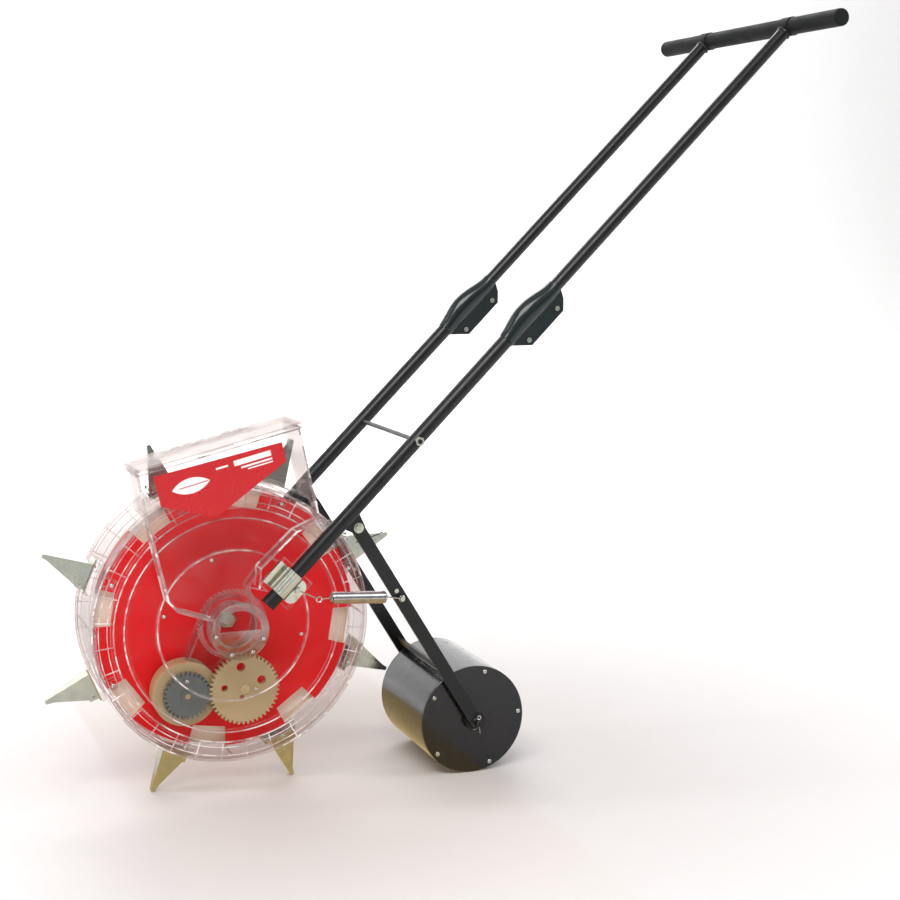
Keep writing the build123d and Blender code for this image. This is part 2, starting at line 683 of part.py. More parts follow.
for name in ("near", "far"):
    out = side(name)
    with BuildPart() as lower_tube:
        with BuildSketch(tube_run(name, 0)):
            Circle(lower_radius)
        extrude(amount=lower_length)
        with Locations(tube_side(name)):
            with Locations((crossbar_at, 0, 0)):
                Cylinder(crossbar_radius, 60, mode=Mode.SUBTRACT)
        with BuildSketch(tube_run(name, 0)):
            Circle(upper_radius + running)
        extrude(amount=lower_length, mode=Mode.SUBTRACT)
    save(lower_tube.part, f"lower_tube_{name}")

    with BuildPart() as arm_lug:
        with BuildSketch(tube_side(name).offset(out * (lug_face - tube_y))):
            with Locations((pivot_at, -pivot_below)):
                Circle(9)
            with Locations((pivot_at, 3 - lower_radius)):
                Rectangle(30, 6)
            make_hull()
        extrude(amount=out * lug_thickness)
        with Locations(tube_side(name)):
            with Locations((pivot_at, -pivot_below, 0)):
                Cylinder(pivot_radius, 60, mode=Mode.SUBTRACT)
        with BuildSketch(tube_run(name, 0)):
            Circle(lower_radius)
        extrude(amount=lower_length, mode=Mode.SUBTRACT)
    arm_lugs.append(arm_lug.part)

    with BuildPart() as upper_tube:
        with BuildSketch(tube_run(name, upper_start)):
            Circle(upper_radius)
            Circle(upper_bore, mode=Mode.SUBTRACT)
        extrude(amount=bar_at - upper_start)
        with Locations(tube_side(name)):
            with Locations((bar_at, 0, 0)):
                Cylinder(collar_radius, 4 * bar_radius, mode=Mode.SUBTRACT)
    save(upper_tube.part, f"upper_tube_{name}")

    with BuildPart() as connector:
        with BuildSketch(tube_side(name).offset(-connector_half)):
            Polygon(*flange_outline, align=None)
        extrude(amount=2 * connector_half)
        outer_edges = connector.edges().filter_by(
            lambda edge: abs(abs(tube_side(name).to_local_coords(edge.center()).Z) - connector_half) < 0.1
        )
        fillet(outer_edges, 1.5)
        for start, above, half_across, half_up in swelling:
            with BuildSketch(tube_run(name, start)):
                with Locations((0, -above)):
                    Ellipse(half_across, half_up)
        loft()
        bores = ((460, lower_length, lower_radius), (lower_length, 590, upper_radius + running))
        for start, end, radius in bores:
            with BuildSketch(tube_run(name, start)):
                Circle(radius)
            extrude(amount=end - start, mode=Mode.SUBTRACT)
        with Locations(tube_side(name)):
            with Locations(*connector_bolts_at):
                Cylinder(bolt_radius, 60, mode=Mode.SUBTRACT)
    save(connector.part, f"connector_{name}")

    with BuildPart() as clamp:
        with BuildSketch(tube_run(name, clamp_start)):
            Circle(lower_radius + clamp_sheet)
            with Locations((-out * clamp_back / 2, 0)):
                Rectangle(clamp_back, 2 * (lower_radius + clamp_sheet))
            for turn in flute_angles:
                rim = lower_radius + clamp_sheet
                with Locations((out * rim * cos(radians(turn)), -rim * sin(radians(turn)))):
                    Circle(flute_radius)
            with Locations((-out * (clamp_back - clamp_sheet / 2), (clamp_reach - clamp_hook) / 2)):
                Rectangle(clamp_sheet, clamp_reach + clamp_hook)
            with Locations((-out * clamp_back, 0)):
                Rectangle(2 * clamp_back, 2 * lower_radius, mode=Mode.SUBTRACT)
            with Locations((-out * (clamp_back + 10), 0)):
                Rectangle(20, 3 * clamp_reach, mode=Mode.SUBTRACT)
            Circle(lower_radius, mode=Mode.SUBTRACT)
            with Locations((-out * (clamp_back + 0.5), -clamp_hook - clamp_sheet / 2)):
                Rectangle(7, clamp_sheet)
        extrude(amount=clamp_length)
        corners = clamp.edges().filter_by(Axis.Y).filter_by(
            lambda edge: tube_side(name).to_local_coords(edge.center()).Y < 0.1 - clamp_reach
        )
        fillet(corners, 10)
        with Locations(tube_side(name)):
            with Locations((ear_bolt_at, -ear_bolt_below)):
                Cylinder(bolt_radius, 60, mode=Mode.SUBTRACT)
    save(clamp.part, f"clamp_{name}")


def bolt(plane, radius, head, low, high, nut):
    """Hex bolt along a plane's normal: head above high, nut below low when nut is true."""
    with BuildPart(plane) as body:
        with Locations((0, 0, (low + high) / 2)):
            Cylinder(radius, high - low)
        ends = [high, low - head] if nut else [high]
        for end in ends:
            with BuildSketch(plane.offset(end)):
                RegularPolygon(1.75 * radius, 6)
            extrude(amount=head)
    return body.part


def at_tube(name, start, above, outwards):
    """Plane at a point beside a handle tube, its normal away from the machine's middle."""
    corner = tube_side(name).from_local_coords(Vector(start, above, 0))
    return Plane(origin=(corner.X, -side(name) * outwards, corner.Z), x_dir=along, z_dir=(0, -side(name), 0))


with BuildPart() as clamp_bolts:
    for name in ("near", "far"):
        back = flange_back if name == "near" else far_face - 4
        head = spring_y + wire + gap
        add(bolt(at_tube(name, ear_bolt_at, -ear_bolt_below, 0), bolt_radius, 2.5, back, head, True))
save(clamp_bolts.part, "clamp_bolts")

with BuildPart() as connector_bolts:
    for name in ("near", "far"):
        for start, above in connector_bolts_at:
            low, high = tube_y - connector_half, tube_y + connector_half
            add(bolt(at_tube(name, start, above, 0), bolt_radius, 2.2, low, high, True))
save(connector_bolts.part, "connector_bolts")

with BuildPart() as arm_pivot_bolts:
    for name in ("near", "far"):
        high = lug_face + lug_thickness
        add(bolt(at_tube(name, pivot_at, -pivot_below, 0), pivot_radius, 3, arm_inner - 0.6, high, True))
save(arm_pivot_bolts.part, "arm_pivot_bolts")

crossbar_plane = Plane(
    origin=(axle_x + on_tube(crossbar_at, 0)[0], 0, axle_z + on_tube(crossbar_at, 0)[1]),
    x_dir=along, z_dir=(0, -1, 0),
)
crossbar_half = tube_y + lower_radius + 6

with BuildPart(crossbar_plane) as crossbar:
    Cylinder(crossbar_radius, 2 * crossbar_half)
save(crossbar.part, "crossbar")

with BuildPart() as crossbar_nuts:
    for start in (tube_y + lower_radius, -tube_y - lower_radius - 5):
        with BuildSketch(crossbar_plane.offset(start)):
            RegularPolygon(6.5, 6)
            Circle(crossbar_radius, mode=Mode.SUBTRACT)
        extrude(amount=5)

with BuildPart() as frame_nuts:
    add(axle_nuts.part)
    add(crossbar_nuts.part)
save(frame_nuts.part, "frame_nuts")

with BuildPart() as lug_pair:
    for lug in arm_lugs:
        add(lug)
save(lug_pair.part, "arm_lugs")

with BuildPart() as tube_end_plugs:
    for name in ("near", "far"):
        with BuildSketch(tube_run(name, 0)):
            Circle(upper_radius + running)
        extrude(amount=14)
        with BuildSketch(tube_run(name, 0)):
            Circle(lower_radius)
        extrude(amount=-2.5)
save(tube_end_plugs.part, "tube_end_plugs")

bar_plane = Plane(
    origin=(axle_x + on_tube(bar_at, 0)[0], 0, axle_z + on_tube(bar_at, 0)[1]),
    x_dir=along, z_dir=(0, -1, 0),
)

with BuildPart(bar_plane) as t_bar:
    Cylinder(bar_radius, 2 * bar_half)
    with Locations((0, 0, tube_y), (0, 0, -tube_y)):
        Cylinder(collar_radius, 2 * collar_half)
    Cylinder(bar_radius - bar_wall, 2 * bar_half, mode=Mode.SUBTRACT)
save(t_bar.part, "t_bar")

with BuildPart() as t_bar_end_caps:
    for end in (1, -1):
        with BuildSketch(bar_plane.offset(end * (bar_half - 16))):
            Circle(bar_radius - bar_wall)
        extrude(amount=end * 16)
        with BuildSketch(bar_plane.offset(end * bar_half)):
            Circle(bar_radius - 0.1)
        extrude(amount=end * 4)
    rims = t_bar_end_caps.edges().filter_by(GeomType.CIRCLE).group_by(Axis.Y)
    fillet(rims[0] + rims[-1], 3.5)
save(t_bar_end_caps.part, "t_bar_end_caps")

# ---------------------------------------------------------------- press roller and its fork
bush_radius = 14.0
end_thickness = 3.0
shell_half = roller_half - end_thickness
shell_wall = 2.5
bolt_start = 4.0
roller = Plane(origin=(axle_x + roller_x, 0, axle_z + roller_z), x_dir=(1, 0, 0), z_dir=(0, -1, 0))

for name in ("near", "far"):
    out = side(name)
    with BuildPart() as roller_arm:
        with BuildSketch(drum.offset(out * arm_inner)):
            with Locations(pivot, (roller_x, roller_z)):
                Circle(arm_half)
            make_hull()
            with Locations(pivot):
                Circle(pivot_radius + running, mode=Mode.SUBTRACT)
            with Locations((roller_x, roller_z)):
                Circle(roller_axle_radius, mode=Mode.SUBTRACT)
        extrude(amount=out * arm_thick)
        for reach in (spring_pin_at - 12, spring_pin_at):
            with Locations(drum):
                with Locations(toward(pivot, (roller_x, roller_z), reach)):
                    Cylinder(pin_radius, 3 * arm_inner, mode=Mode.SUBTRACT)
    save(roller_arm.part, f"roller_arm_{name}")

    with BuildPart() as roller_end:
        with BuildSketch(roller.offset(out * shell_half)):
            Circle(roller_radius)
            Circle(bush_radius, mode=Mode.SUBTRACT)
            with PolarLocations(bolt_circle, roller_bolts, bolt_start):
                Circle(screw_radius, mode=Mode.SUBTRACT)
        extrude(amount=out * end_thickness)
        chamfer(roller_end.edges().filter_by(GeomType.CIRCLE).group_by(SortBy.LENGTH)[-1], 0.8)
    save(roller_end.part, f"roller_end_{name}")

with BuildPart() as spring_pins:
    for name in ("near", "far"):
        lone_end, eye_end = arm_inner + arm_thick, spring_y + wire + gap
        for reach, high in ((spring_pin_at - 12, lone_end), (spring_pin_at, eye_end)):
            place = toward(pivot, (roller_x, roller_z), reach)
            origin = (axle_x + place[0], 0, axle_z + place[1])
            pin_plane = Plane(origin=origin, x_dir=(1, 0, 0), z_dir=(0, -side(name), 0))
            add(bolt(pin_plane, pin_radius, 1.6, arm_inner, high, True))
save(spring_pins.part, "spring_pins")

shoulder_y = arm_inner + arm_thick + 0.8
stub_radius, stub_end = 4.5, 107.0
cotter_y, cotter_radius, cotter_eye = 103.5, 1.0, 2.6

with BuildPart(roller) as roller_axle:
    Cylinder(roller_axle_radius, 2 * shoulder_y)
    Cylinder(stub_radius, 2 * stub_end)
    chamfer(roller_axle.edges().filter_by(GeomType.CIRCLE), 0.7)
    for end in (cotter_y, -cotter_y):
        with Locations((0, 0, end)):
            Cylinder(cotter_radius, 30, rotation=(90, 0, 0), mode=Mode.SUBTRACT)
save(roller_axle.part, "roller_axle")

with BuildPart(roller) as cotter_pins:
    for end in (cotter_y, -cotter_y):
        with Locations((0, -2.1, end)):
            Cylinder(cotter_radius, 15.8, rotation=(90, 0, 0))
        with Locations((0, 5.8 + cotter_eye, end)):
            Torus(cotter_eye, cotter_radius)
save(cotter_pins.part, "cotter_pins")

scraper_at = 248.0

with BuildPart() as scraper_plate:
    place = toward(pivot, (roller_x, roller_z), scraper_at)
    origin = (axle_x + place[0], 0, axle_z + place[1])
    direction = (cos(radians(arm_angle)), 0, sin(radians(arm_angle)))
    with Locations(Plane(origin=origin, x_dir=direction, z_dir=(0, -1, 0))):
        Box(16, 3, 2 * arm_inner)
save(scraper_plate.part, "scraper_plate")

with BuildPart() as roller_shell:
    with BuildSketch(roller.offset(-shell_half)):
        Circle(roller_radius)
        Circle(roller_radius - shell_wall, mode=Mode.SUBTRACT)
    extrude(amount=2 * shell_half)
    for start in (-shell_half, shell_half - 16):
        with BuildSketch(roller.offset(start)):
            with PolarLocations(bolt_circle, roller_bolts, bolt_start):
                Circle(5.2)
                Circle(screw_radius, mode=Mode.SUBTRACT)
        extrude(amount=16)
save(roller_shell.part, "roller_shell")

with BuildPart(roller) as roller_screws:
    for outwards in (1, -1):
        with PolarLocations(bolt_circle, roller_bolts, bolt_start):
            with Locations((0, 0, outwards * (roller_half + 1))):
                Cylinder(1.2 * head_radius, 2)
            with Locations((0, 0, outwards * (roller_half - 6))):
                Cylinder(screw_radius, 12)
save(roller_screws.part, "roller_screws")

with BuildPart() as roller_bushes:
    for outwards in (1, -1):
        with BuildSketch(roller.offset(outwards * (shell_half - 6))):
            Circle(bush_radius)
            Circle(roller_axle_radius + running, mode=Mode.SUBTRACT)
        extrude(amount=outwards * (arm_inner - gap - shell_half + 6))
save(roller_bushes.part, "roller_bushes")

# ---------------------------------------------------------------- springs
coil_start, coil_end = (119.5, 36.3), (198.0, 31.4)
coil_length = hypot(coil_end[0] - coil_start[0], coil_end[1] - coil_start[1])
coil_angle = degrees(atan2(coil_end[1] - coil_start[1], coil_end[0] - coil_start[0]))
turns = 38
loop_at = (104.0, 35.5)
eye_radius = 3.6


def strand(start, end, depth):
    """Straight wire between two points in the drum plane's coordinates."""
    length = hypot(end[0] - start[0], end[1] - start[1])
    angle = atan2(end[1] - start[1], end[0] - start[0])
    base = drum.from_local_coords(Vector(start[0], start[1], depth))
    with BuildPart(Plane(origin=base, z_dir=(cos(angle), 0, sin(angle)))) as rod:
        Cylinder(wire, length, align=(Align.CENTER, Align.CENTER, Align.MIN))
    return rod.part


for name in ("near", "far"):
    depth = side(name) * spring_y
    start = drum.from_local_coords(Vector(coil_start[0], coil_start[1], depth))
    direction = (cos(radians(coil_angle)), 0, sin(radians(coil_angle)))
    profile = Plane(origin=start, x_dir=direction, z_dir=(0, -1, 0))
    with BuildPart() as spring:
        with BuildSketch(profile):
            with BuildLine():
                step = coil_length / turns
                for turn in range(turns):
                    ThreePointArc(
                        (turn * step, spring_radius - wire),
                        ((turn + 0.5) * step, spring_radius),
                        ((turn + 1) * step, spring_radius - wire),
                    )
                Polyline(
                    (coil_length, spring_radius - wire), (coil_length, 0), (0, 0), (0, spring_radius - wire),
                )
            make_face()
        revolve(axis=Axis(start, direction))
        with Locations(drum):
            for eye in (loop_at, ear_bolt, spring_pin):
                with Locations((eye[0], eye[1], depth)):
                    Torus(eye_radius, wire)
        add(strand(toward(ear_bolt, loop_at, eye_radius), toward(loop_at, ear_bolt, eye_radius), depth))
        add(strand(toward(loop_at, coil_start, eye_radius), coil_start, depth))
        add(strand(coil_end, toward(spring_pin, coil_end, eye_radius), depth))
    save(spring.part, f"spring_{name}")

print(f"axle {axle_x:.2f} {axle_z:.2f}, arm {arm_angle:.2f} deg, hopper top {top_slope:.3f} deg")
print(f"pivot {pivot}, spring pin {spring_pin}, ear bolt {ear_bolt}")
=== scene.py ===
import json
import random
from math import asin, atan2, cos, degrees, pi, radians, sin

import bmesh
import bpy
from mathutils import Matrix, Vector


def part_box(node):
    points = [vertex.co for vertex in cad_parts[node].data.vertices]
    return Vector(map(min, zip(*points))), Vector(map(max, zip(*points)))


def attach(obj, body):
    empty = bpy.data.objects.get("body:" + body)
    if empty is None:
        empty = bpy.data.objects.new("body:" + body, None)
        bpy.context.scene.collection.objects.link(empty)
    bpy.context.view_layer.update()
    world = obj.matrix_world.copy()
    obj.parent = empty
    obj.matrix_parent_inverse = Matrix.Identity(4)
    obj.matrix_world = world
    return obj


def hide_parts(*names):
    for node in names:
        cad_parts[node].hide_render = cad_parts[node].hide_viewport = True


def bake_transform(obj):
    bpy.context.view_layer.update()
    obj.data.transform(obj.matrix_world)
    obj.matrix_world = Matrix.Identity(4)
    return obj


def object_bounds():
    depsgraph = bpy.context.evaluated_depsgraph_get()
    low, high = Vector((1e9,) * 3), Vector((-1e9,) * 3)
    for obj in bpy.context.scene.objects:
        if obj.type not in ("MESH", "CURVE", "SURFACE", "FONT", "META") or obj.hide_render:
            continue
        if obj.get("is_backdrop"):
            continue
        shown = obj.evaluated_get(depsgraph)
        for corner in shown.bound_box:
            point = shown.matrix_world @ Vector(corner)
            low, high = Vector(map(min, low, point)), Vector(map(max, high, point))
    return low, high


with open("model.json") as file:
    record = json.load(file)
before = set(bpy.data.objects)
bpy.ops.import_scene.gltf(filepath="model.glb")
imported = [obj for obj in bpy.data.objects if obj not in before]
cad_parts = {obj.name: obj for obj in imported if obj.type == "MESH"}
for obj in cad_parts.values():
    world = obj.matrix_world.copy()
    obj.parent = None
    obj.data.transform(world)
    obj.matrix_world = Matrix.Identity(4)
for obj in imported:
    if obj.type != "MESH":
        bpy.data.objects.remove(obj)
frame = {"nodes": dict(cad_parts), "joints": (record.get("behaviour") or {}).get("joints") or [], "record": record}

random.seed(7)
MM = 0.001

# ---------------------------------------------------------------- places taken from the frame
nodes = frame["nodes"]
joints = {joint["name"]: joint for joint in frame["joints"]}
axle = Vector(joints["drum_spin"]["pos_m"])
roller_centre = Vector(joints["roller_spin"]["pos_m"])
arm_pivot = Vector(joints["roller_arm_pivot"]["pos_m"])
tube_dir = Vector(joints["handle_slide"]["axis"]).normalized()
tube_up = Vector((-tube_dir.z, 0, tube_dir.x))
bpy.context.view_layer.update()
slot_of = {part["node"]: part["material_slot"] for part in frame["record"]["subparts"]}


def centre_of(node):
    """Middle of a CAD node's box."""
    low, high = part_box(node)
    return (low + high) / 2


def beside_axle(right, up, y):
    """Point given in metres from the drum axis, at a place across the machine."""
    return Vector((axle.x + right, y, axle.z + up))


def round_axle(radius, angle, y):
    """Point on a circle about the drum axis, its angle in degrees."""
    return beside_axle(radius * cos(radians(angle)), radius * sin(radians(angle)), y)


# ---------------------------------------------------------------- camera, floor and light
def make_camera():
    """Low three-quarter view from the hopper side, ahead of the drum."""
    camera = bpy.data.cameras.new("camera")
    camera.sensor_width = 36
    camera.lens = 63.9
    camera.shift_x = -0.0398
    camera.shift_y = -0.0026
    camera.clip_end = 60
    holder = bpy.data.objects.new("camera", camera)
    bpy.context.scene.collection.objects.link(holder)
    yaw, pitch, roll = radians(-23.65), radians(-7.95), radians(0.93)
    forward = Vector((-sin(yaw) * cos(pitch), cos(yaw) * cos(pitch), sin(pitch)))
    level = Vector((cos(yaw), sin(yaw), 0))
    right = level * cos(roll) + level.cross(forward) * sin(roll)
    up = right.cross(forward)
    turn = Matrix((right, up, -forward)).transposed().to_4x4()
    from_axle = Vector((-0.5207, -2.0677, 0.5266))
    holder.matrix_world = Matrix.Translation(axle + from_axle) @ turn
    bpy.context.scene.camera = holder


def area_light(name, place, target, size, power, tint=(1, 1, 1)):
    """Soft rectangular lamp aimed at a point."""
    lamp = bpy.data.lights.new(name, "AREA")
    lamp.shape = "RECTANGLE"
    lamp.size, lamp.size_y = size
    lamp.energy = power
    lamp.color = tint
    holder = bpy.data.objects.new(name, lamp)
    bpy.context.scene.collection.objects.link(holder)
    holder.location = place
    holder.rotation_euler = (Vector(target) - Vector(place)).to_track_quat("-Z", "Y").to_euler()


def make_stage():
    """Pale floor that curves up into a backdrop, soft lamps and a white surround."""
    mesh = bpy.data.meshes.new("floor")
    radius, depth, width = 2.5, 5.0, 24.0
    profile = [(-40.0, 0.0), (depth, 0.0)]
    turns = [pi / 2 * k / 12 for k in range(1, 13)]
    profile += [(depth + radius * sin(turn), radius - radius * cos(turn)) for turn in turns]
    profile += [(depth + radius, 9.0)]
    verts = [(x, y, z) for y, z in profile for x in (-width, width)]
    faces = [(2 * k, 2 * k + 1, 2 * k + 3, 2 * k + 2) for k in range(len(profile) - 1)]
    mesh.from_pydata(verts, [], faces)
    mesh.shade_smooth()
    floor = bpy.data.objects.new("floor", mesh)
    bpy.context.scene.collection.objects.link(floor)
    floor.location = (0, 0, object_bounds()[0].z - 0.0002)
    mesh.materials.append(floor_material())
    floor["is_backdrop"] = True
    middle = (0, 0, 0.35)
    area_light("key_lamp", (-1.3, -2.2, 3.2), middle, (2.4, 1.4), 80, (1.0, 0.99, 0.975))
    area_light("side_lamp", (3.0, -1.6, 1.9), middle, (0.8, 2.2), 32, (1.0, 0.985, 0.97))
    area_light("strip_lamp", (-2.6, 0.6, 1.5), middle, (0.14, 2.4), 18)
    area_light("back_lamp", (0.6, 2.6, 2.8), middle, (3.0, 1.0), 42)
    area_light("backdrop_lamp", (0, 2.0, 3.5), (0, 7.0, 2.5), (6.0, 2.0), 430)
    warm_card()
    world = bpy.data.worlds.new("studio")
    world.use_nodes = True
    tree = world.node_tree
    ray = tree.nodes.new("ShaderNodeTexCoord").outputs["Generated"]
    height = tree.nodes.new("ShaderNodeSeparateXYZ")
    tree.links.new(ray, height.inputs[0])
    ramp = tree.nodes.new("ShaderNodeMapRange")
    for socket, value in (("From Min", -0.1), ("From Max", 0.7), ("To Min", 0.16), ("To Max", 0.66)):
        ramp.inputs[socket].default_value = value
    tree.links.new(height.outputs[2], ramp.inputs["Value"])
    background = tree.nodes["Background"]
    background.inputs["Color"].default_value = (1.0, 0.997, 0.992, 1)
    tree.links.new(ramp.outputs["Result"], background.inputs["Strength"])
    bpy.context.scene.world = world
    bpy.context.scene.view_settings.view_transform = "Standard"
    bpy.context.scene.cycles.transparent_max_bounces = 40


def warm_card():
    """Tan card lying on the floor that only reflections see: it warms the undersides of metal and paint."""
    mesh = bpy.data.meshes.new("warm_card")
    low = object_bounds()[0]
    left, right, front, back = axle.x - 0.13, roller_centre.x + 0.02, low.y - 0.7, 0.5
    corners = [(left, front), (right, front), (right, back), (left, back)]
    mesh.from_pydata([(x, y, low.z + 0.0004) for x, y in corners], [], [(0, 1, 2, 3)])
    s = Shader("warm_card")
    tone = s.mix(s.noise(3), (0.95, 0.71, 0.36), (0.92, 0.66, 0.31))
    mesh.materials.append(s.finish(s.add("ShaderNodeEmission", {"Color": tone, "Strength": 0.8}).outputs[0]))
    card = bpy.data.objects.new("warm_card", mesh)
    bpy.context.scene.collection.objects.link(card)
    for ray in ("camera", "diffuse", "transmission", "shadow", "volume_scatter"):
        setattr(card, "visible_" + ray, False)
    card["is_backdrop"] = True


# ---------------------------------------------------------------- materials
class Shader:
    """A material's node tree, with short calls that add nodes and link them."""

    def __init__(self, name):
        self.material = bpy.data.materials.new(name)
        self.material.use_nodes = True
        self.tree = self.material.node_tree
        self.tree.nodes.clear()
        self.out = self.tree.nodes.new("ShaderNodeOutputMaterial")
        self.coords = self.tree.nodes.new("ShaderNodeTexCoord").outputs["Object"]

    def add(self, kind, links=None, **settings):
        node = self.tree.nodes.new(kind)
        for key, value in settings.items():
            setattr(node, key, value)
        for socket, value in (links or {}).items():
            target = node.inputs[socket]
            if isinstance(value, bpy.types.NodeSocket):
                self.tree.links.new(value, target)
            else:
                target.default_value = value
        return node

    def noise(self, scale, detail=4.0, stretch=(1, 1, 1)):
        place = self.add("ShaderNodeMapping", {"Vector": self.coords, "Scale": stretch})
        links = {"Vector": place.outputs[0], "Scale": scale, "Detail": detail}
        return self.add("ShaderNodeTexNoise", links).outputs["Fac"]

    def remap(self, value, low, high, start=0.0, end=1.0):
        links = {"Value": value, "From Min": low, "From Max": high, "To Min": start, "To Max": end}
        return self.add("ShaderNodeMapRange", links).outputs["Result"]

    def math(self, operation, first, second):
        return self.add("ShaderNodeMath", {0: first, 1: second}, operation=operation).outputs[0]

    def mix(self, share, first, second):
        links = {"Factor": share, "A": first, "B": second}
        node = self.tree.nodes.new("ShaderNodeMix")
        node.data_type = "RGBA"
        chosen = {"Factor": node.inputs[0], "A": node.inputs[6], "B": node.inputs[7]}
        for key, value in links.items():
            if isinstance(value, bpy.types.NodeSocket):
                self.tree.links.new(value, chosen[key])
            else:
                chosen[key].default_value = value if key == "Factor" else (*value, 1)
        return node.outputs[2]

    def edges(self, radius, low, high):
        """Mask of edges, used for wear and for painted highlights: where a rounded normal leaves the true one."""
        soft = self.add("ShaderNodeBevel", {"Radius": radius}, samples=4).outputs[0]
        true = self.add("ShaderNodeNewGeometry").outputs["Normal"]
        agree = self.add("ShaderNodeVectorMath", {0: soft, 1: true}, operation="DOT_PRODUCT").outputs["Value"]
        return self.remap(agree, high, low)

    def bump(self, height, strength, distance=0.0004):
        links = {"Height": height, "Strength": strength, "Distance": distance}
        return self.add("ShaderNodeBump", links).outputs[0]

    def finish(self, shader):
        self.tree.links.new(shader, self.out.inputs["Surface"])
        return self.material


def floor_material():
    s = Shader("floor")
    # Painted shade: the floor is darker round its origin, under the machine, and pales to near white from 0.3 m to
    # 1.3 m out.
    reach = s.add("ShaderNodeVectorMath", {0: s.coords}, operation="LENGTH").outputs["Value"]
    near = s.mix(s.noise(0.8), (0.60, 0.565, 0.56), (0.65, 0.62, 0.615))
    tone = s.mix(s.remap(reach, 0.3, 1.3), near, (0.96, 0.955, 0.955))
    rough = s.remap(s.noise(30), 0.3, 0.7, 0.45, 0.6)
    links = {"Base Color": tone, "Roughness": rough, "Specular IOR Level": 0.25}
    return s.finish(s.add("ShaderNodeBsdfPrincipled", links).outputs[0])


def painted(name, base, worn, gloss, grain=900, peel=0.12, wear=0.5, coat=0.35):
    """Paint over metal: orange peel, faint dust, and thin bright wear on its edges."""
    s = Shader(name)
    cloud = s.noise(18, 5)
    dust = s.remap(s.noise(140, 6), 0.52, 0.75)
    tone = s.mix(cloud, [c * 0.75 for c in base], [c * 1.35 for c in base])
    tone = s.mix(s.math("MULTIPLY", dust, 0.02), tone, (0.20, 0.19, 0.18))
    edge = s.math("MULTIPLY", s.edges(0.0012, 0.80, 0.97), s.remap(s.noise(220, 5), 0.45, 0.62, 0, wear))
    tone = s.mix(edge, tone, worn)
    rough = s.remap(s.noise(60, 5), 0.3, 0.7, gloss - 0.05, gloss + 0.09)
    rough = s.math("ADD", rough, s.math("MULTIPLY", dust, 0.06))
    links = {
        "Base Color": tone, "Roughness": rough, "Metallic": s.math("MULTIPLY", edge, 0.8),
        "Normal": s.bump(s.noise(grain, 2), peel), "Coat Weight": coat, "Coat Roughness": 0.12,
        "Specular IOR Level": 0.32,
    }
    return s.finish(s.add("ShaderNodeBsdfPrincipled", links).outputs[0])


def metal(name, base, tinted, gloss, spangle):
    """Plated or bare steel: blotchy plate colour, fine brushing and scattered stains."""
    s = Shader(name)
    blotch = s.remap(s.noise(spangle, 3), 0.35, 0.65)
    tone = s.mix(blotch, base, tinted)
    stain = s.remap(s.noise(35, 6), 0.58, 0.75)
    tone = s.mix(s.math("MULTIPLY", stain, 0.35), tone, [c * 0.55 for c in base])
    lines = s.noise(260, 3)
    rough = s.remap(lines, 0.3, 0.7, gloss - 0.06, gloss + 0.08)
    rough = s.math("ADD", rough, s.math("MULTIPLY", stain, 0.15))
    links = {
        "Base Color": tone, "Metallic": 1.0, "Roughness": rough,
        "Normal": s.bump(lines, 0.25, 0.0002),
    }
    return s.finish(s.add("ShaderNodeBsdfPrincipled", links).outputs[0])


def moulded(name, base, second, gloss, grain=500, texture=0.1, glow=0.0, shine=0.5):
    """Moulded plastic: slow colour drift, flow marks, fine grain and a lighter tone along its edges."""
    s = Shader(name)
    tone = s.mix(s.noise(14, 4), base, second)
    # Edges mixed towards a lighter tone of the base colour.
    edge = s.math("MULTIPLY", s.edges(0.001, 0.82, 0.98), 0.35)
    tone = s.mix(edge, tone, [min(1, c * 1.5 + 0.03) for c in base])
    rough = s.remap(s.noise(45, 5, (1, 1, 3)), 0.3, 0.7, gloss - 0.06, gloss + 0.1)
    links = {
        "Base Color": tone, "Roughness": rough, "Normal": s.bump(s.noise(grain, 3), texture),
        "Subsurface Weight": glow, "Subsurface Scale": 0.004, "Specular IOR Level": shine,
    }
    return s.finish(s.add("ShaderNodeBsdfPrincipled", links).outputs[0])


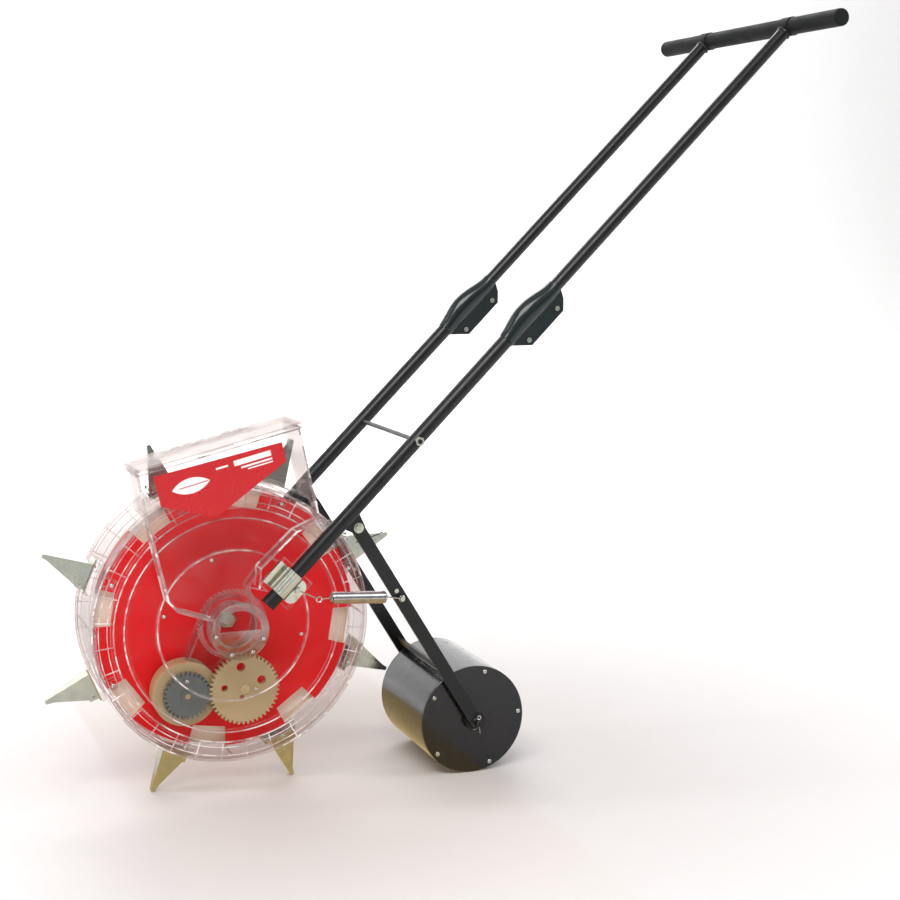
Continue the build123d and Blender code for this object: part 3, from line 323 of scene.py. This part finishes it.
def clear(name, tint, haze, edge_tone, edge_share, shine=0.003, rim=0.7, painted_shade_from=None):
    """Clear moulding: see-through face on, milkier and darkened by painted shade where it turns away, with a
    painted highlight along its corners.

    Above its height argument it is cloudier and its corners are grey, a painted shade for walls seen against a
    pale wall.
    """
    s = Shader(name)
    turned = s.add("ShaderNodeLayerWeight", {"Blend": 0.5}).outputs["Facing"]
    steep = s.math("POWER", turned, 5.0)
    # Painted highlight: near-white milky lines along the corners, their strength set at random up to rim.
    corner = s.math("MULTIPLY", s.edges(0.0022, 0.74, 0.97), s.remap(s.noise(60, 4), 0.35, 0.6, 0.25, rim))
    flow = s.remap(s.noise(22, 4, (1, 1, 2)), 0.5, 0.7)
    ripple = s.bump(s.noise(28, 3), 0.3, 0.0012)
    rough = s.remap(s.noise(80, 4), 0.3, 0.7, 0.03, 0.12)
    face_on = s.mix(s.noise(15, 3), tint, [c * 0.985 for c in tint])
    # Painted shade: the see-through tint darkens to a pinkish grey where the wall turns away.
    shade = s.mix(s.math("POWER", turned, 2.5), face_on, (0.60, 0.53, 0.51))
    through = s.add("ShaderNodeBsdfTransparent", {"Color": shade}).outputs[0]
    body_tone = s.mix(s.noise(30, 3), edge_tone, [min(1, c * 1.06) for c in edge_tone])
    if painted_shade_from is not None:
        # Painted shade: greyer corners and more cloud above the given height.
        height = s.add("ShaderNodeSeparateXYZ", {0: s.coords}).outputs[2]
        height = s.remap(height, painted_shade_from, painted_shade_from + 0.03)
        body_tone = s.mix(height, body_tone, [c * 0.42 for c in edge_tone])
        flow = s.math("ADD", flow, s.math("MULTIPLY", height, 0.05 / haze))
    body = s.add("ShaderNodeBsdfDiffuse", {"Color": body_tone, "Normal": ripple}).outputs[0]
    links = {"Color": (1, 1, 1, 1), "Roughness": rough, "Normal": ripple}
    gloss = s.add("ShaderNodeBsdfGlossy", links).outputs[0]
    milky_and_highlight = s.math("ADD", s.math("MULTIPLY", flow, haze), s.math("MULTIPLY", steep, edge_share))
    milky_and_highlight = s.math("MAXIMUM", milky_and_highlight, corner)
    first = s.add("ShaderNodeMixShader", {0: milky_and_highlight, 1: through, 2: body}).outputs[0]
    mirror = s.math("ADD", shine, s.math("MULTIPLY", steep, 0.4))
    return s.finish(s.add("ShaderNodeMixShader", {0: mirror, 1: first, 2: gloss}).outputs[0])


def label_paint(node):
    """Red panel printed with one leaf and four plain bars.

    u runs along the panel's top edge from its left end and v up from it, in millimetres in the calls below.
    """
    s = Shader("red_label")
    low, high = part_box("hopper_label")
    slope = asin(-joints["lid_hinge"]["axis"][2])
    along, across = Vector((cos(slope), 0, sin(slope))), Vector((-sin(slope), 0, cos(slope)))
    start = Vector((low.x, 0, high.z - (high.x - low.x) * sin(slope)))

    def vector_math(operation, first, second, output="Value"):
        return s.add("ShaderNodeVectorMath", {0: first, 1: second}, operation=operation).outputs[output]

    place = vector_math("ADD", s.coords, node.matrix_world.translation - start, "Vector")
    u = vector_math("DOT_PRODUCT", place, along)
    v = vector_math("DOT_PRODUCT", place, across)
    flat = s.add("ShaderNodeCombineXYZ", {0: u, 1: v}).outputs[0]

    def disc(centre_u, centre_v, radius):
        reach = vector_math("DISTANCE", flat, (centre_u * MM, centre_v * MM, 0))
        return s.math("SUBTRACT", reach, radius * MM)

    def past(value, centre, half):
        reach = s.math("ABSOLUTE", s.math("SUBTRACT", value, centre * MM), 0.0)
        return s.math("SUBTRACT", reach, half * MM)

    def bar(centre_u, centre_v, half_u, half_v):
        return s.math("MAXIMUM", past(u, centre_u, half_u), past(v, centre_v, half_v))

    leaf = s.math("MAXIMUM", disc(44, 6.2, 36.2), disc(44, -46.2, 36.2))
    leaf = s.math("MAXIMUM", leaf, s.math("SUBTRACT", 0.0, bar(48, -20, 19, 0.6)))
    bars = [bar(129, -9, 25, 3.6), bar(133, -16.5, 21, 1.2), bar(137, -20.5, 17, 0.8), bar(88, -9, 8, 1.2)]
    nearest = leaf
    for shape in bars:
        nearest = s.math("MINIMUM", nearest, shape)
    ink = s.remap(nearest, 0.00018, -0.00018)
    red = s.mix(s.noise(14, 4), (0.60, 0.004, 0.010), (0.54, 0.004, 0.009))
    scuff = s.remap(s.noise(420, 6), 0.64, 0.74, 0, 0.08)
    tone = s.mix(scuff, s.mix(ink, red, (0.92, 0.90, 0.90)), (0.75, 0.45, 0.45))
    rough = s.remap(s.noise(60, 4), 0.3, 0.7, 0.22, 0.4)
    relief = s.bump(s.math("ADD", ink, s.noise(300, 2)), 0.08, 0.0001)
    links = {"Base Color": tone, "Roughness": rough, "Normal": relief}
    return s.finish(s.add("ShaderNodeBsdfPrincipled", links).outputs[0])


# Height above which the hopper's clear walls get painted shade: greyer corners and more cloud.
painted_shade_line = axle.z + 180 * MM
materials = {
    "clear_plastic": clear("clear_plastic", (0.992, 0.988, 0.988), 0.01, (0.70, 0.63, 0.62), 0.25),
    # Bead finish: so milky it shows as near-white lines, painted highlights along the cover beads and ribs.
    "highlight_bead_plastic": clear("highlight_bead_plastic", (0.94, 0.91, 0.91), 2.0, (0.90, 0.83, 0.82), 0.6, 0.05),
    # Hopper plastic: painted shade above the height line, greyer corners and more cloud there.
    "hopper_plastic": clear(
        "hopper_plastic", (0.993, 0.988, 0.988), 0.02, (0.78, 0.73, 0.72), 0.35, painted_shade_from=painted_shade_line
    ),
    # Hopper bead finish: near-white milky lines, painted highlights along the hopper's corners.
    "hopper_highlight_bead": clear(
        "hopper_highlight_bead", (0.92, 0.89, 0.89), 5.0, (0.92, 0.85, 0.84), 0.6, 0.05, painted_shade_from=painted_shade_line
    ),
    "lid_plastic": clear("lid_plastic", (0.93, 0.905, 0.895), 0.35, (0.62, 0.57, 0.55), 0.5, 0.01),
    "hub_plastic": clear("hub_plastic", (0.80, 0.78, 0.75), 0.35, (0.50, 0.47, 0.44), 0.5, 0.08, 0.4),
    "red_plastic": moulded("red_plastic", (0.90, 0.006, 0.014), (0.80, 0.005, 0.010), 0.42, shine=0.2),
    "red_label": label_paint(nodes["hopper_label"]),
    "cream_plastic": moulded("cream_plastic", (0.56, 0.44, 0.26), (0.46, 0.33, 0.16), 0.42, glow=0.1),
    # Painted light: a much paler copy of the cream plastic, for the seed cups deep behind the disc.
    "lit_cup_plastic": moulded("lit_cup_plastic", (0.94, 0.86, 0.76), (0.88, 0.74, 0.60), 0.40, glow=0.1),
    "grey_plastic": moulded("grey_plastic", (0.15, 0.17, 0.17), (0.10, 0.12, 0.125), 0.45),
    "zinc_steel": metal("zinc_steel", (0.42, 0.45, 0.40), (0.52, 0.52, 0.43), 0.16, spangle=70),
    "gold_zinc": metal("gold_zinc", (0.62, 0.60, 0.48), (0.52, 0.56, 0.52), 0.20, spangle=90),
    "bright_steel": metal("bright_steel", (0.66, 0.66, 0.67), (0.56, 0.56, 0.58), 0.12, spangle=60),
    "black_paint": painted("black_paint", (0.006, 0.007, 0.008), (0.30, 0.30, 0.30), 0.30, coat=0.12),
    "bar_sleeve": moulded(
        "bar_sleeve", (0.008, 0.009, 0.010), (0.012, 0.013, 0.014), 0.6, texture=0.25, shine=0.12
    ),
    "connector_paint": painted(
        "connector_paint", (0.006, 0.013, 0.014), (0.25, 0.27, 0.27), 0.16, peel=0.15
    ),
    "roller_paint": painted(
        "roller_paint", (0.007, 0.007, 0.008), (0.35, 0.33, 0.30), 0.20, peel=0.15, wear=0.35, coat=0.45
    ),
    "black_plastic": moulded(
        "black_plastic", (0.012, 0.012, 0.014), (0.017, 0.017, 0.019), 0.45, texture=0.2, shine=0.25
    ),
}

finish_of = {
    "hopper_body": "hopper_plastic", "hopper_lid": "lid_plastic",
    "t_bar": "bar_sleeve", "t_bar_end_caps": "bar_sleeve",
}
for name, node in nodes.items():
    node.data.materials.clear()
    node.data.materials.append(materials[finish_of.get(name, slot_of[name])])


# ---------------------------------------------------------------- mesh helpers
def islands(node):
    """Boxes of a CAD node's separate solids, from the hopper side to the far side."""
    bm = bmesh.new()
    bm.from_mesh(nodes[node].data)
    bmesh.ops.remove_doubles(bm, verts=bm.verts, dist=1e-6)
    bm.transform(nodes[node].matrix_world)
    left, boxes = set(bm.verts), []
    while left:
        queue, found = [left.pop()], []
        while queue:
            vert = queue.pop()
            found.append(vert.co.copy())
            near = {edge.other_vert(vert) for edge in vert.link_edges} & left
            left -= near
            queue += near
        low = Vector([min(point[k] for point in found) for k in range(3)])
        high = Vector([max(point[k] for point in found) for k in range(3)])
        boxes.append((low, high))
    bm.free()
    return sorted(boxes, key=lambda box: (round(box[0].y, 4), box[0].x))


def add_lathe(bm, profile, place, axis, steps=24):
    """Turned shape from (radius, height) pairs, standing at a place along an axis."""
    turn = Matrix.Translation(place) @ axis.to_track_quat("Z", "Y").to_matrix().to_4x4()
    rings = []
    for radius, height in profile:
        turns = [2 * pi * k / steps for k in range(steps if radius > 1e-9 else 1)]
        spots = [(radius * cos(t), radius * sin(t), height) for t in turns]
        rings.append([bm.verts.new(turn @ Vector(spot)) for spot in spots])
    for low, high in zip(rings, rings[1:]):
        for k in range(steps):
            after = k + 1
            corners = [low[k % len(low)], low[after % len(low)], high[after % len(high)], high[k % len(high)]]
            bm.faces.new(list(dict.fromkeys(corners)))


def add_tube(bm, path, radius, sides=8, closed=False):
    """Round wire of one radius, or one per point, swept along a path."""
    radii = radius if isinstance(radius, list) else [radius] * len(path)
    rings, normal = [], None
    for k, point in enumerate(path):
        before = path[k - 1] if k or closed else path[0]
        after = path[(k + 1) % len(path)] if k < len(path) - 1 or closed else path[-1]
        along = (after - before).normalized()
        normal = along.orthogonal() if normal is None else normal
        normal = (normal - along * normal.dot(along)).normalized()
        across = along.cross(normal)
        turns = [2 * pi * j / sides for j in range(sides)]
        rings.append([bm.verts.new(point + radii[k] * (normal * cos(t) + across * sin(t))) for t in turns])
    following = rings[1:] + rings[:1] if closed else rings[1:]
    for low, high in zip(rings, following):
        for j in range(sides):
            bm.faces.new((low[j], low[(j + 1) % sides], high[(j + 1) % sides], high[j]))
    if not closed:
        bm.faces.new(reversed(rings[0]))
        bm.faces.new(rings[-1])


def circle(centre, radius, axis, steps=24, start=0.0, sweep=2 * pi):
    """Points round a circle or arc about an axis."""
    turn = axis.to_track_quat("Z", "Y").to_matrix()
    count = steps if sweep > 6.28 else steps + 1
    spots = [start + sweep * k / steps for k in range(count)]
    return [centre + turn @ Vector((radius * cos(t), radius * sin(t), 0)) for t in spots]


def make_mesh(bm, name, angle=35):
    """Mesh from a bmesh, smooth but for its sharp corners."""
    bmesh.ops.recalc_face_normals(bm, faces=bm.faces)
    mesh = bpy.data.meshes.new(name)
    bm.to_mesh(mesh)
    bm.free()
    mesh.shade_smooth()
    mesh.set_sharp_from_angle(angle=radians(angle))
    return mesh


def new_piece(bm, name, slot, finish=None):
    """Object from a bmesh with its slot's material or another finish of that slot, in the row frame."""
    piece = bpy.data.objects.new(name, make_mesh(bm, name))
    bpy.context.scene.collection.objects.link(piece)
    piece.data.materials.append(materials[finish or slot])
    return piece


# ---------------------------------------------------------------- springs
near_side, far_side = -1, 1


def spring_path(ear, pin, depth):
    """Wire of a hooked tension spring: eye, link loop, close coil, eye."""
    ear, pin = Vector((ear.x, depth, ear.z)), Vector((pin.x, depth, pin.z))
    loop = ear + Vector((29.8, 0, -15.0)) * MM
    start, end = ear + Vector((45.4, 0, -14.2)) * MM, pin + Vector((-22.4, 0, 4.2)) * MM
    return ear, loop, start, end, pin


def coil(start, end, radius, turns, steps=16):
    """Helix whose end turns close in on the axis, as the hooks of a spring do."""
    along = (end - start).normalized()
    side = Vector((0, 1, 0))
    up = along.cross(side)
    path = []
    for k in range(turns * steps + 1):
        share = k / (turns * steps)
        taper = min(1.0, 0.35 + 0.65 * min(share, 1 - share) * turns / 1.2)
        angle = 2 * pi * k / steps
        path.append(start.lerp(end, share) + radius * taper * (side * cos(angle) + up * sin(angle)))
    return path


ear_bolts = islands("clamp_bolts")
lever_pins = islands("spring_pins")
across = Vector((0, 1, 0))
for name, hand in (("near", near_side), ("far", far_side)):
    ear = [(low + high) / 2 for low, high in ear_bolts if (low.y + high.y) * hand > 0][0]
    pins = [(low + high) / 2 for low, high in lever_pins if (low.y + high.y) * hand > 0]
    pin = max(pins, key=lambda place: abs(place.y))
    depth = centre_of("spring_" + name).y
    ear, loop, start, end, pin = spring_path(ear, pin, depth)
    bm = bmesh.new()
    wire = 0.95 * MM
    for eye, aim in ((ear, loop), (pin, end)):
        lean = atan2(aim.z - eye.z, aim.x - eye.x)
        ring = circle(eye, 3.6 * MM, across, 20, 0.35, 2 * pi - 0.7)
        ring = [eye + Matrix.Rotation(-lean, 3, "Y") @ (point - eye) for point in ring]
        add_tube(bm, ring, wire)
    add_tube(bm, circle(loop, 3.6 * MM, across), wire, closed=True)
    add_tube(bm, [ear.lerp(loop, share) for share in (0.11, 0.5, 0.89)], wire)
    add_tube(bm, [loop.lerp(start, share) for share in (0.22, 0.6, 1.0)], wire)
    add_tube(bm, [end.lerp(pin, share) for share in (0.0, 0.5, 0.85)], wire)
    add_tube(bm, coil(start, end, 7.5 * MM, 38), 1.0 * MM)
    spring = new_piece(bm, "spring_wire_" + name, "bright_steel")
    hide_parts("spring_" + name)
    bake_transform(spring)


# ---------------------------------------------------------------- screws, washers and pins
def screw_head(radius, height):
    """Pan head with a cross recess, standing on the XY plane."""
    head = bmesh.new()
    outline = [(0, 0), (1, 0), (1, 0.35), (0.93, 0.62), (0.75, 0.86), (0.45, 0.98), (0, 1)]
    add_lathe(head, [(r * radius, h * height) for r, h in outline], Vector(), Vector((0, 0, 1)), 20)
    cross = bmesh.new()
    for turn in (0, pi / 2):
        size = Matrix.Diagonal((1.25 * radius, 0.28 * radius, height, 1))
        matrix = Matrix.Translation((0, 0, height)) @ Matrix.Rotation(turn + 0.001, 4, "Z") @ size
        bmesh.ops.create_cube(cross, size=1, matrix=matrix)
    parts = [bpy.data.objects.new("cutter", make_mesh(bm, "cutter")) for bm in (head, cross)]
    for part in parts:
        bpy.context.scene.collection.objects.link(part)
    recess = parts[0].modifiers.new("recess", "BOOLEAN")
    recess.object, recess.operation, recess.solver, recess.use_self = parts[1], "DIFFERENCE", "EXACT", True
    graph = bpy.context.evaluated_depsgraph_get()
    mesh = bpy.data.meshes.new_from_object(parts[0].evaluated_get(graph))
    for part in parts:
        bpy.data.objects.remove(part)
    return mesh


def thread(radius, length):
    """Profile of a screw's shank: sharp ridges about one millimetre apart, below its head."""
    ridges = max(2, int(length / MM))
    points = [(0, -length), (0.6 * radius, -length)]
    for k in range(ridges):
        base = -length + (k + 0.3) * length / ridges
        points += [(0.82 * radius, base), (radius, base + 0.35 * length / ridges)]
    return points + [(0.82 * radius, 0.02 * MM), (0, 0.02 * MM)]


def cross_screws(node, body, head_height, shank_radius):
    """Cross-head screws in place of a CAD node's plain ones, each turned at random."""
    boxes = islands(node)
    radius = (boxes[0][1].x - boxes[0][0].x) / 2
    master = screw_head(radius, head_height)
    bm = bmesh.new()
    for low, high in boxes:
        middle = (low + high) / 2
        outwards = Vector((0, 1 if middle.y > 0 else -1, 0))
        seat = Vector((middle.x, (high.y if middle.y > 0 else low.y) - outwards.y * head_height, middle.z))
        turn = outwards.to_track_quat("Z", "Y").to_matrix().to_4x4()
        copy = master.copy()
        copy.transform(Matrix.Translation(seat) @ turn @ Matrix.Rotation(random.uniform(0, pi), 4, "Z"))
        bm.from_mesh(copy)
        add_lathe(bm, thread(shank_radius, high.y - low.y - head_height), seat, outwards, 14)
    piece = new_piece(bm, node + "_detailed", "bright_steel")
    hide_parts(node)
    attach(piece, body)


cross_screws("cover_screws", "drum", 1.6 * MM, 1.4 * MM)
cross_screws("roller_screws", "press_roller", 2.0 * MM, 1.4 * MM)
cross_screws("hub_screws", "frame", 2.0 * MM, 1.4 * MM)


def washers(name, node, body, seat, hole, rim):
    """Plain washers under the outer heads of a node's bolts, seat metres in from each box's outer end."""
    bm = bmesh.new()
    for low, high in islands(node):
        middle = (low + high) / 2
        hand = 1 if middle.y > 0 else -1
        place = Vector((middle.x, (high.y if hand > 0 else low.y) - hand * seat, middle.z))
        thick, bevel = 0.8 * MM, 0.2 * MM
        outline = [(hole, 0), (rim - bevel, 0), (rim, bevel), (rim, thick - bevel), (rim - bevel, thick)]
        add_lathe(bm, outline + [(hole, thick), (hole, 0)], place, Vector((0, hand, 0)), 28)
    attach(new_piece(bm, name, "zinc_steel"), body)


washers("pivot_washers", "arm_pivot_bolts", "frame", 3.0 * MM, 3.1 * MM, 7.0 * MM)

for hand, (low, high) in zip((near_side, far_side), islands("cotter_pins")):
    bm = bmesh.new()
    middle = (low + high) / 2
    wire = 0.9 * MM
    hole = Vector((roller_centre.x, middle.y, roller_centre.z))
    eye = hole + Vector((0, 0, 8.4 * MM))
    add_tube(bm, circle(eye, 2.6 * MM, across, 20, 0.3, 2 * pi - 0.6), wire)
    for lean, reach, drop in ((-1, 9.0, 2.6), (0.35, 3.0, 9.0)):
        offset = -0.45 if lean < 0 else 0.45
        start = hole + Vector((offset, 0, 6.0)) * MM
        bottom = hole + Vector((offset, 0, -5.2)) * MM
        bend = bottom + Vector((lean * 1.5, hand * 0.3, -1.2)) * MM
        tip = bottom + Vector((lean * reach, hand * 1.2, -drop)) * MM
        add_tube(bm, [start, hole, bottom, bend, bend.lerp(tip, 0.5), tip], 0.5 * wire)
    name = "near" if hand < 0 else "far"
    pin = new_piece(bm, "cotter_wire_" + name, "bright_steel")
    if hand < 0:
        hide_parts("cotter_pins")
    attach(pin, "roller_fork")


# ---------------------------------------------------------------- weld beads
def weld(bm, path, radius, closed=False):
    """Rippled bead along a path."""
    radii = [radius * (1 + 0.16 * sin(2.1 * k) + random.uniform(-0.08, 0.08)) for k in range(len(path))]
    add_tube(bm, path, radii, 8, closed)


bm = bmesh.new()
bar = centre_of("t_bar")
for name in ("upper_tube_near", "upper_tube_far"):
    foot = Vector((bar.x, centre_of(name).y, bar.z)) - tube_dir * 13.3 * MM
    weld(bm, circle(foot, 9.4 * MM, tube_dir, 72), 1.3 * MM, closed=True)
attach(new_piece(bm, "handle_welds", "black_paint"), "handle")

bm = bmesh.new()
bolts_low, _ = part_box("arm_pivot_bolts")
for hand in (near_side, far_side):
    lug_face = hand * (abs(bolts_low.y) - 3.0 * MM)
    middle = Vector((arm_pivot.x, lug_face + hand * 0.3 * MM, arm_pivot.z)) + tube_up * 16.4 * MM
    weld(bm, [middle + tube_dir * (k - 15) * MM for k in range(31)], 1.2 * MM)
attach(new_piece(bm, "lug_welds", "black_paint"), "frame")

# ---------------------------------------------------------------- seed cups behind the disc's notches
bm = bmesh.new()
disc_low, disc_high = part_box("seed_disc")
disc_rim = (disc_high.x - disc_low.x) / 2
inner, outer, half = disc_rim - 29 * MM, disc_rim - 1.5 * MM, radians(9.2)
front, back, sheet = axle.y - 12.6 * MM, axle.y - 4 * MM, 1.0 * MM
walls = [(inner, -half), (outer, -half), (outer, half), (inner, half)]
inside = [(inner + sheet, -half + sheet / inner), (outer - sheet, -half + sheet / outer)]
inside += [(outer - sheet, half - sheet / outer), (inner + sheet, half - sheet / inner)]


def cup_loop(shape, middle, y):
    """Four corners about a middle angle in degrees."""
    return [bm.verts.new(round_axle(radius, middle + degrees(swing), y)) for radius, swing in shape]


def bridge(first, second):
    """Four faces between two loops of four corners."""
    for j in range(4):
        after = (j + 1) % 4
        bm.faces.new((first[j], first[after], second[after], second[j]))


for k in range(8):
    pin = Vector(joints[f"jaw_{k + 1}_hinge"]["pos_m"]) - axle
    middle = degrees(atan2(pin.z, pin.x)) + 8.2
    wall_back = back - 1.5 * sheet
    outer_front, inner_front = cup_loop(walls, middle, front), cup_loop(inside, middle, front)
    outer_back, inner_back = cup_loop(walls, middle, wall_back), cup_loop(inside, middle, wall_back)
    bridge(outer_front, outer_back)
    bridge(inner_back, inner_front)
    bridge(inner_front, outer_front)
    bridge(outer_back, inner_back)
    floor_front, floor_back = cup_loop(walls, middle, back - sheet), cup_loop(walls, middle, back)
    bridge(floor_front, floor_back)
    bm.faces.new(floor_front)
    bm.faces.new(floor_back[::-1])
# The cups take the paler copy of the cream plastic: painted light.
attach(new_piece(bm, "seed_cups", "cream_plastic", "lit_cup_plastic"), "drum")

# ---------------------------------------------------------------- moulded beads and ribs on the drum's covers
bm = bmesh.new()
cover_low, cover_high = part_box("near_cover")
cover_radius = (cover_high.x - cover_low.x) / 2
ring_top = abs(cover_low.y) - 0.8 * MM
bead_face, rib_face, rim_face = 64.3 * MM, 64.2 * MM, 63.3 * MM
rib_count = 32
rings = [(radius * MM, ring_top, 0.9 * MM, 96, 8) for radius in (101, 143.8, 157.2)]
rings += [(cover_radius - 1.3 * MM, rim_face, 1.1 * MM, 128, 8)]
rings += [(radius * MM, bead_face, 0.6 * MM, 128, 6) for radius in (165, 176)]
for hand in (near_side, far_side):
    for radius, depth, wire, steps, sides in rings:
        path = circle(axle + Vector((0, hand * depth, 0)), radius, across, steps)
        add_tube(bm, path, wire, sides, closed=True)
    for k in range(rib_count):
        turn, depth = 360 / rib_count * (k + 0.5), axle.y + hand * rib_face
        add_tube(bm, [round_axle(reach * MM, turn, depth) for reach in (158.5, 170, 181.5)], 0.8 * MM, 6)
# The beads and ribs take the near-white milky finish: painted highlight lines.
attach(new_piece(bm, "cover_beads", "clear_plastic", "highlight_bead_plastic"), "drum")

# ---------------------------------------------------------------- moulded beads along the hopper's corners
bm = bmesh.new()
left_edge = [(-130.5, 214), (-112.2, 127.7), (-92.2, 45.2), (-80.4, 31.6), (-33, 15)]
right_edge = [(26.5, 54), (28.5, 80), (77, 125.6), (107.8, 139.2), (92, 206.5), (79, 264)]
front_face, chute_back = 94.2, 70.3
bin_base = 190
for path in (left_edge, right_edge):
    for depth in (front_face, chute_back):
        corners = [(a, b) for a, b in path if depth == front_face or b < bin_base]
        add_tube(bm, [beside_axle(a * MM, b * MM, axle.y - depth * MM) for a, b in corners], 1.4 * MM)
for a, b in ((-92.2, 45.2), (-112.2, 127.7), (28.5, 80), (107.8, 139.2), (77, 125.6)):
    add_tube(bm, [beside_axle(a * MM, b * MM, axle.y - depth * MM) for depth in (94, 82, 70.5)], 1.0 * MM)
lip_low, lip_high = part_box("hopper_lid")
slope = asin(-joints["lid_hinge"]["axis"][2])
top = Vector((cos(slope), 0, sin(slope)))
below_lid = 9.6 * MM
first = Vector((lip_low.x, 0, lip_high.z - (lip_high.x - lip_low.x) * sin(slope)))
first -= Vector((-sin(slope), 0, cos(slope))) * below_lid
length = (lip_high.x - lip_low.x) / cos(slope)
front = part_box("hopper_body")[0].y + 0.9 * MM
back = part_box("hopper_label")[0].y + 72 * MM
ends = [first + top * start for start in (3 * MM, length - 4 * MM)]
mouth = [(ends[0], back), (ends[0], front), (ends[1], front), (ends[1], back)]
add_tube(bm, [Vector((end.x, depth, end.z)) for end, depth in mouth], 1.3 * MM)
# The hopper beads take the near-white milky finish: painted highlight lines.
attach(new_piece(bm, "hopper_beads", "clear_plastic", "hopper_highlight_bead"), "frame")

make_camera()
make_stage()
